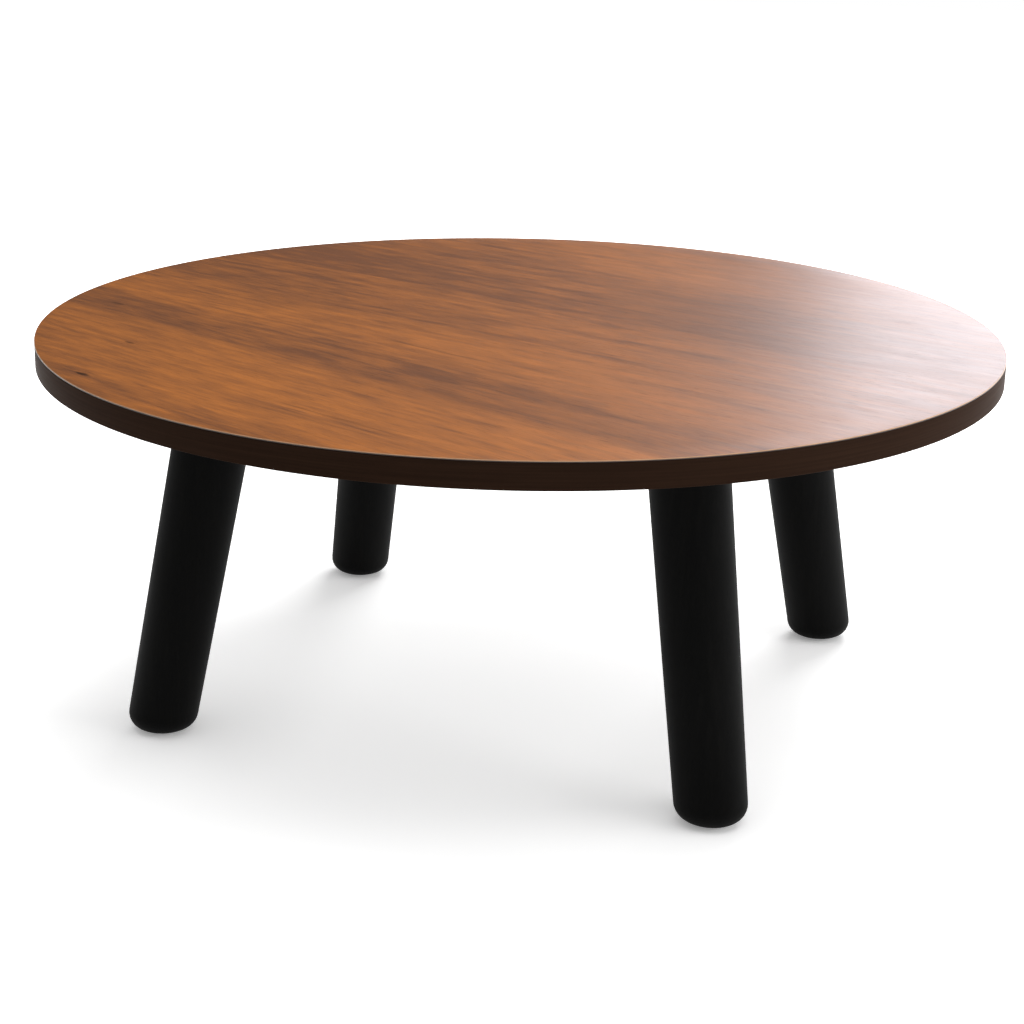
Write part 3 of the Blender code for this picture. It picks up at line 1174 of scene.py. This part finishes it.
@dataclass
class FootPads:
    """The round felt pads under the feet."""

    rounding: float = 0.0007
    inner_ring: float = 0.5
    sides: int = 64
    round_steps: int = 3

    def build(self) -> None:
        """Builds the pads, each with soft upper and lower edges."""
        for corner in Corner:
            node = f"foot_pad_{corner.value}"
            low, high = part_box(node)
            radius = (high.x - low.x) / 2.0
            rim = radius - self.rounding
            profile: List[Point] = [(0.0, low.z), (rim * self.inner_ring, low.z)]
            lower = (rim, low.z + self.rounding)
            upper = (rim, high.z - self.rounding)
            profile += rounding(lower, self.rounding, -QUARTER_TURN, 0.0, self.round_steps)
            profile += rounding(upper, self.rounding, 0.0, QUARTER_TURN, self.round_steps)
            profile += [(rim * self.inner_ring, high.z), (0.0, high.z)]
            name = f"felt_pad_{corner.value}"
            place = middle(node)
            mesh = moved(lathe(name, profile, self.sides), Vector((place.x, place.y, 0.0)))
            add_piece(name, mesh, PAD_FELT, [node])


def thread(major: float, minor: float, start: float, end: float, pitch: float) -> List[Point]:
    """The ridges of a thread, as points of a profile.

    Args:
        major: The outer radius.
        minor: The root radius.
        start: The height of the first root.
        end: The height of the last root.
        pitch: The spacing of the ridges.

    Returns:
        Points that go from root to ridge and back.
    """
    count = max(1, round(abs(end - start) / pitch))
    step = (end - start) / count
    points: List[Point] = []
    for index in range(count):
        points.append((minor, start + step * index))
        points.append((major, start + step * (index + 0.5)))
    points.append((minor, end))
    return points


def hexagon(width: float) -> List[Point]:
    """The corners of a hexagon of that width across its flats."""
    return ring_points(6, width / math.sqrt(3.0))


@dataclass
class PlateBolt:
    """A button-head bolt that points up from its seat at height 0, with a hexagon socket below."""

    length: float
    head_height: float = 0.0033
    head_radius: float = 0.00525
    crown_radius: float = 0.0030
    land: float = 0.0007
    shank_radius: float = 0.0030
    root_radius: float = 0.00255
    pitch: float = 0.0010
    grip: float = 0.0060
    lead: float = 0.0004
    socket_width: float = 0.0040
    socket_depth: float = 0.0020
    overrun: float = 0.001
    sides: int = 40
    dome_steps: int = 7

    def mesh(self) -> Mesh:
        """Turns the bolt and cuts its socket.

        Returns:
            The bolt's mesh.
        """
        dome = self.head_height - self.land
        profile: List[Point] = [(0.0, -self.head_height)]
        for step in range(self.dome_steps + 1):
            angle = QUARTER_TURN * step / self.dome_steps
            out = self.crown_radius + (self.head_radius - self.crown_radius) * math.sin(angle)
            profile.append((out, -self.land - dome * math.cos(angle)))
        profile += [(self.head_radius, 0.0), (self.shank_radius, 0.0), (self.shank_radius, self.grip)]
        start = self.grip + self.lead
        profile += thread(self.shank_radius, self.root_radius, start, self.length, self.pitch)
        profile.append((0.0, self.length))
        below = -self.head_height - self.overrun
        floor = -self.head_height + self.socket_depth
        socket = prism("bolt_socket", hexagon(self.socket_width), below, floor)
        return carved(lathe("plate_bolt", profile, self.sides), [socket])


@dataclass
class LegScrew:
    """A countersunk wood screw that points down from height 0, with a hexagon socket above."""

    length: float
    head_radius: float = 0.0049
    land: float = 0.0005
    shank_radius: float = 0.0025
    root_radius: float = 0.0017
    neck: float = 0.0120
    tip: float = 0.0070
    pitch: float = 0.0022
    lead: float = 0.0006
    socket_width: float = 0.0040
    socket_depth: float = 0.0020
    overrun: float = 0.001
    sides: int = 32

    def mesh(self) -> Mesh:
        """Turns the screw and cuts its socket.

        Returns:
            The screw's mesh.
        """
        cone = self.head_radius - self.shank_radius
        profile: List[Point] = [(0.0, 0.0), (self.head_radius, 0.0), (self.head_radius, -self.land)]
        profile += [(self.shank_radius, -self.land - cone), (self.shank_radius, -self.neck)]
        start = -self.neck - self.lead
        end = self.tip - self.length
        profile += thread(self.shank_radius, self.root_radius, start, end, self.pitch)
        profile.append((0.0, -self.length))
        socket = prism("screw_socket", hexagon(self.socket_width), -self.socket_depth, self.overrun)
        return carved(lathe("leg_screw", profile, self.sides), [socket])


@dataclass
class ThreadedInsert:
    """A turned insert with ribs outside and a thread inside, standing on height 0."""

    length: float
    outer_radius: float = 0.0050
    groove_radius: float = 0.0046
    bore_radius: float = 0.0033
    root_radius: float = 0.0037
    rib_pitch: float = 0.0016
    thread_pitch: float = 0.0010
    collar: float = 0.0012
    rib_lead: float = 0.0003
    bore_lead: float = 0.0004
    sides: int = 40

    def mesh(self) -> Mesh:
        """Turns the insert.

        Returns:
            The insert's mesh.
        """
        profile: List[Point] = [(self.bore_radius, 0.0), (self.outer_radius, 0.0)]
        profile.append((self.outer_radius, self.collar))
        start = self.collar + self.rib_lead
        ribs = thread(self.outer_radius, self.groove_radius, start, self.length, self.rib_pitch)
        bore = thread(self.bore_radius, self.root_radius, self.length, self.bore_lead, self.thread_pitch)
        return lathe("threaded_insert", profile + ribs + bore, self.sides, closed=True)


@dataclass
class FixingSet:
    """The steel plates between legs and board, with their bolts, screws and inserts."""

    corner_radius: float = 0.010
    corner_steps: int = 8
    edge_break: float = 0.0005
    break_segments: int = 2
    break_angle: float = math.radians(60.0)
    bolt_count: int = 4
    bolt_start: float = math.pi / 4.0
    screw_count: int = 3
    screw_start: float = 0.0
    hole_clearance: float = 0.0005
    overrun: float = 0.002

    @staticmethod
    def ring_radius(kind: str) -> float:
        """The distance from a leg's station to the fasteners of one kind round it."""
        corner = Corner.FRONT_LEFT.value
        away = middle(f"{kind}_{corner}_1") - middle(f"leg_plate_{corner}")
        return math.hypot(away.x, away.y)

    def plate_outline(self, half: float) -> List[Point]:
        """The outline of a square plate with rounded corners.

        Args:
            half: Half of the plate's side.

        Returns:
            The outline's points, in order.
        """
        inner = half - self.corner_radius
        outline: List[Point] = []
        for index, (x, y) in enumerate(((1, 1), (-1, 1), (-1, -1), (1, -1))):
            start = index * QUARTER_TURN
            centre = (inner * x, inner * y)
            outline += rounding(centre, self.corner_radius, start, start + QUARTER_TURN, self.corner_steps)
        return outline

    def holes(self, low: float, high: float, bolt: PlateBolt, screw: LegScrew) -> List[Mesh]:
        """Shapes the holes of a plate that is centred on the upright axis.

        Args:
            low: The plate's lower side.
            high: Its upper side.
            bolt: The bolt that passes through.
            screw: The screw that is let in from above.

        Returns:
            The closed shapes to cut out.
        """
        below = low - self.overrun
        above = high + self.overrun
        seat = high - screw.land
        hole = bolt.shank_radius + self.hole_clearance
        neck = screw.shank_radius + self.hole_clearance
        mouth = screw.head_radius + self.hole_clearance
        bolt_way = [(0.0, below), (hole, below), (hole, above), (0.0, above)]
        screw_way = [(0.0, below), (neck, below), (neck, seat - mouth + neck)]
        screw_way += [(mouth, seat), (mouth, above), (0.0, above)]
        kinds = (
            ("plate_bolt", bolt_way, bolt.sides, self.bolt_count, self.bolt_start),
            ("leg_screw", screw_way, screw.sides, self.screw_count, self.screw_start),
        )
        cutters: List[Mesh] = []
        for kind, way, sides, count, start in kinds:
            for x, y in ring_points(count, self.ring_radius(kind), start):
                cutters.append(moved(lathe(f"{kind}_way", way, sides), Vector((x, y, 0.0))))
        return cutters

    def build_plates(self, bolt: PlateBolt, screw: LegScrew) -> None:
        """Builds the plates, with broken edges and the holes that their fasteners need.

        Args:
            bolt: The bolt that passes through.
            screw: The screw that is let in from above.
        """
        for corner in Corner:
            node = f"leg_plate_{corner.value}"
            low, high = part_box(node)
            place = middle(node)
            bearing = math.atan2(place.y, place.x)
            spread = abs(math.cos(bearing)) + abs(math.sin(bearing))
            half = ((high.x - low.x) / 2.0 - self.corner_radius) / spread + self.corner_radius
            name = f"mounting_plate_{corner.value}"
            blank = new_object(name, prism(name, self.plate_outline(half), low.z, high.z))
            broken = blank.modifiers.new("edge_break", "BEVEL")
            broken.width = self.edge_break
            broken.segments = self.break_segments
            broken.limit_method = "ANGLE"
            broken.angle_limit = self.break_angle
            plate = carved(plain_mesh(blank), self.holes(low.z, high.z, bolt, screw))
            add_piece(name, moved(plate, Vector((place.x, place.y, 0.0)), bearing), PLATE_COAT, [node])

    @staticmethod
    def recipe() -> Recipe:
        """Builds the tree that sets a ring of fasteners at each leg's station.

        Returns:
            The tree.
        """
        recipe = Recipe("fastener_rings")
        fastener = recipe.input("Fastener", Input.OBJECT)
        along, across, height = recipe.inputs(Input.NUMBER, "Stations Along", "Stations Across", "Height")
        radius, start = recipe.inputs(Input.NUMBER, "Ring Radius", "Ring Start")
        count = recipe.input("Ring Count", Input.COUNT)
        sockets = {"Size X": along, "Size Y": across, "Vertices X": 2, "Vertices Y": 2}
        stations = recipe.add("GeometryNodeMeshGrid", sockets)
        ring = recipe.add("GeometryNodeMeshCircle", {"Vertices": count, "Radius": radius})
        sockets = {"Geometry": ring, "Rotation": recipe.vector(0.0, 0.0, start)}
        ring = recipe.add("GeometryNodeTransform", sockets)
        shape = recipe.add("GeometryNodeObjectInfo", {"Object": fastener}, "Geometry")
        group = recipe.add("GeometryNodeInstanceOnPoints", {"Points": ring, "Instance": shape})
        x, y, _ = recipe.parts(recipe.add("GeometryNodeInputPosition"))
        bearing = recipe.vector(0.0, 0.0, recipe.maths("ARCTAN2", y, x))
        sockets = {"Points": stations, "Instance": group, "Rotation": bearing}
        groups = recipe.add("GeometryNodeInstanceOnPoints", sockets)
        sockets = {"Geometry": groups, "Translation": recipe.vector(0.0, 0.0, height)}
        recipe.close(recipe.add("GeometryNodeTransform", sockets))
        return recipe

    def set_fasteners(
        self,
        recipe: Recipe,
        kind: str,
        shape: Mesh,
        height: float,
        ring: Tuple[int, float],
        finish: Finish,
    ) -> None:
        """Sets all the fasteners of one kind as one piece.

        Args:
            recipe: The tree that sets the rings.
            kind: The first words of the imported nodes' names.
            shape: One fastener's mesh.
            height: The height that its own height 0 takes.
            ring: How many stand round each station, and the first one's angle.
            finish: Their finish.
        """
        station = middle(f"leg_plate_{Corner.BACK_RIGHT.value}")
        sample = new_object(f"{kind}_sample", shape)
        values = {
            "Fastener": sample,
            "Stations Along": station.x * 2.0,
            "Stations Across": station.y * 2.0,
            "Ring Count": ring[0],
            "Ring Radius": self.ring_radius(kind),
            "Ring Start": ring[1],
            "Height": height,
        }
        nodes = [f"{kind}_{corner.value}_{index + 1}" for corner in Corner for index in range(ring[0])]
        recipe.run(f"{kind}_set", values, finish, nodes)
        bpy.data.objects.remove(sample)

    def build(self) -> None:
        """Builds the plates and everything that holds them."""
        bolt_low, bolt_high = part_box("plate_bolt_front_left_1")
        screw_low, screw_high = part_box("leg_screw_front_left_1")
        insert_low, insert_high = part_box("insert_front_left_1")
        bolt = PlateBolt(bolt_high.z - bolt_low.z - PlateBolt.head_height)
        screw = LegScrew(screw_high.z - screw_low.z)
        insert = ThreadedInsert(insert_high.z - insert_low.z)
        self.build_plates(bolt, screw)
        recipe = self.recipe()
        bolts = (self.bolt_count, self.bolt_start)
        seat = bolt_low.z + bolt.head_height
        self.set_fasteners(recipe, "plate_bolt", bolt.mesh(), seat, bolts, ZINC)
        self.set_fasteners(recipe, "insert", insert.mesh(), insert_low.z, bolts, INSERT_BRASS)
        screws = (self.screw_count, self.screw_start)
        self.set_fasteners(recipe, "leg_screw", screw.mesh(), screw_high.z, screws, ZINC)


@dataclass(frozen=True)
class SoftBox:
    """A rectangular soft lamp; its bearing is to the right of the camera's line of sight, in degrees."""

    name: str
    bearing: float
    elevation: float
    distance: float
    width: float
    height: float
    radiance: float
    glow: Glow
    tint: Colour = WHITE


@dataclass
class Studio:
    """A pale floor, a white surround, soft lamps and the camera."""

    camera_distance: float = 1.9541
    camera_height: float = 0.8054
    camera_bearing: float = math.radians(18.462)
    camera_pitch: float = math.radians(17.9236)
    camera_yaw: float = math.radians(-1.519)
    camera_roll: float = math.radians(0.8183)
    lens: float = 74.094
    sensor: float = 36.0
    shift: float = 0.05
    floor_radius: float = 9.0
    floor_sides: int = 96
    floor_colour: Colour = (0.95, 0.95, 0.95)
    floor_lift: float = 0.58
    # Reach and strength of the painted contact shade in the floor's glow
    contact_reach: float = 0.12
    contact_depth: float = 0.65
    white_from: float = 0.7
    white_to: float = 1.4
    ambient: float = 0.25
    gloss_dark: float = 0.05
    gloss_light: float = 0.95
    gloss_bearing: float = 75.0
    gloss_step: Step = (0.12, 0.78)
    aim: Triple = (0.0, 0.0, 0.2)
    lamps: Tuple[SoftBox, ...] = (
        SoftBox("top_box", 143.0, 82.0, 3.6, 3.4, 3.4, 1.80, Glow.MATT),
        SoftBox("low_box", 20.0, 37.0, 5.0, 2.6, 3.4, 5.2, Glow.MATT),
        SoftBox("side_box", 106.0, 16.0, 4.0, 3.0, 1.8, 3.3, Glow.MATT),
        SoftBox("window_box", 29.0, 22.3, 2.6, 1.2, 1.2, 4.65, Glow.MIRRORED, (0.96, 0.94, 1.0)),
    )

    def heading(self, bearing: float) -> Vector:
        """The level direction at a bearing to the right of the camera's line of sight, in degrees."""
        angle = self.camera_bearing - math.radians(bearing)
        return Vector((-math.sin(angle), math.cos(angle), 0.0))

    def set_camera(self) -> None:
        """Puts the camera where the photograph was taken from."""
        place = Matrix.Translation((0.0, -self.camera_distance, self.camera_height))
        turned = Matrix.Rotation(-self.camera_yaw, 4, "Z")
        tipped = Matrix.Rotation(QUARTER_TURN - self.camera_pitch, 4, "X")
        rolled = Matrix.Rotation(self.camera_roll, 4, "Z")
        lens = bpy.data.cameras.new("camera")
        lens.sensor_fit = "HORIZONTAL"
        lens.sensor_width = self.sensor
        lens.lens = self.lens
        lens.shift_x = self.shift
        camera = new_object("camera", lens)
        bearing = Matrix.Rotation(self.camera_bearing, 4, "Z")
        camera.matrix_world = bearing @ place @ turned @ tipped @ rolled
        bpy.context.scene.camera = camera

    def set_lamp(self, box: SoftBox) -> None:
        """Hangs one soft lamp, turned towards the table.

        Args:
            box: The lamp.
        """
        lamp = bpy.data.lights.new(box.name, "AREA")
        lamp.shape = "RECTANGLE"
        lamp.size = box.width
        lamp.size_y = box.height
        lamp.energy = LAMP_WATTS * box.radiance * box.width * box.height
        lamp.color = box.tint
        rise = math.radians(box.elevation)
        away = self.heading(box.bearing) * math.cos(rise) + Vector((0.0, 0.0, math.sin(rise)))
        holder = new_object(box.name, lamp)
        holder.location = Vector(self.aim) + away * box.distance
        holder.rotation_euler = (-away).to_track_quat("-Z", "Y").to_euler()
        holder.visible_diffuse = box.glow is Glow.MATT
        holder.visible_glossy = box.glow is Glow.MIRRORED
        LOG.info("lamp %s", box.name)

    @staticmethod
    def seen(graph: Graph) -> Tuple[Value, Value]:
        """Tells which rays see the pale surround.

        Args:
            graph: The nodes of the floor or the world.

        Returns:
            1 for rays from the camera, and 1 for rays off a glossy surface.
        """
        direct = graph.add("ShaderNodeLightPath", output="Is Camera Ray")
        return direct, direct.part("Is Glossy Ray")

    def set_world(self) -> None:
        """Makes the surround: white to the camera, soft all round, and shaded for reflections."""
        world = bpy.data.worlds.new("surround")
        world.use_nodes = True
        graph = Graph(world.node_tree)
        direct, glossy = self.seen(graph)
        way = graph.add("ShaderNodeTexCoord", output="Generated")
        bright = graph.rise(graph.dot(way, self.heading(self.gloss_bearing)), *self.gloss_step)
        mirrored = self.gloss_dark + bright * (self.gloss_light - self.gloss_dark)
        level = direct + glossy * mirrored + (1.0 - direct - glossy) * self.ambient
        sky = graph.add("ShaderNodeBackground", {"Color": WHITE, "Strength": level})
        graph.node("ShaderNodeOutputWorld", {"Surface": sky})
        bpy.context.scene.world = world

    def set_floor(self) -> None:
        """Lays the floor, which keeps the table's shadow, fades out and is clear from below."""
        sheet = bpy.data.meshes.new("floor")
        rim = [(x, y, 0.0) for x, y in ring_points(self.floor_sides, self.floor_radius)]
        sheet.from_pydata(rim, [], [range(len(rim))])
        floor = new_object("floor", sheet)
        material = bpy.data.materials.new("pale_floor")
        material.use_nodes = True
        graph = Graph(material.node_tree)
        direct, glossy = self.seen(graph)
        away = graph.rise(graph.radius(), self.white_from, self.white_to)
        # Painted contact shade: the floor's white glow is dimmed where ambient occlusion finds the table
        # near, on top of the real shadow that the lamps cast
        open_sky = graph.add("ShaderNodeAmbientOcclusion", {"Distance": self.contact_reach}, "AO")
        shaded = self.floor_lift * (1.0 - (1.0 - open_sky) * self.contact_depth)
        lift = (direct + glossy) * (shaded + away * (1.0 - self.floor_lift))
        matt = graph.add("ShaderNodeBsdfDiffuse", {"Color": self.floor_colour})
        white = graph.add("ShaderNodeEmission", {"Color": lift})
        seen = graph.add("ShaderNodeAddShader", {0: matt, 1: white})
        below = graph.add("ShaderNodeNewGeometry", output="Backfacing")
        clear = graph.add("ShaderNodeBsdfTransparent")
        ground = graph.add("ShaderNodeMixShader", {0: below, 1: seen, 2: clear})
        graph.node("ShaderNodeOutputMaterial", {"Surface": ground})
        floor.data.materials.append(material)

    def build(self) -> None:
        """Sets the camera, the surround, the floor, the lamps and the picture's colours."""
        self.set_camera()
        self.set_world()
        self.set_floor()
        for box in self.lamps:
            self.set_lamp(box)
        bpy.context.scene.view_settings.view_transform = "Standard"


def corners(box: Sequence[Vector]) -> List[List[float]]:
    """The two corners of a box as plain numbers."""
    return [list(corner) for corner in box]


def main() -> None:
    """Builds the table's pieces and its studio."""
    logging.basicConfig(level=logging.INFO, format="%(name)s: %(message)s")
    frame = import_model()
    Studio().build()
    board = Board.from_frame()
    board.build(frame)
    LegSet(board.band_bottom).build()
    FootPads().build()
    FixingSet().build()


if __name__ == "__main__":
    main()
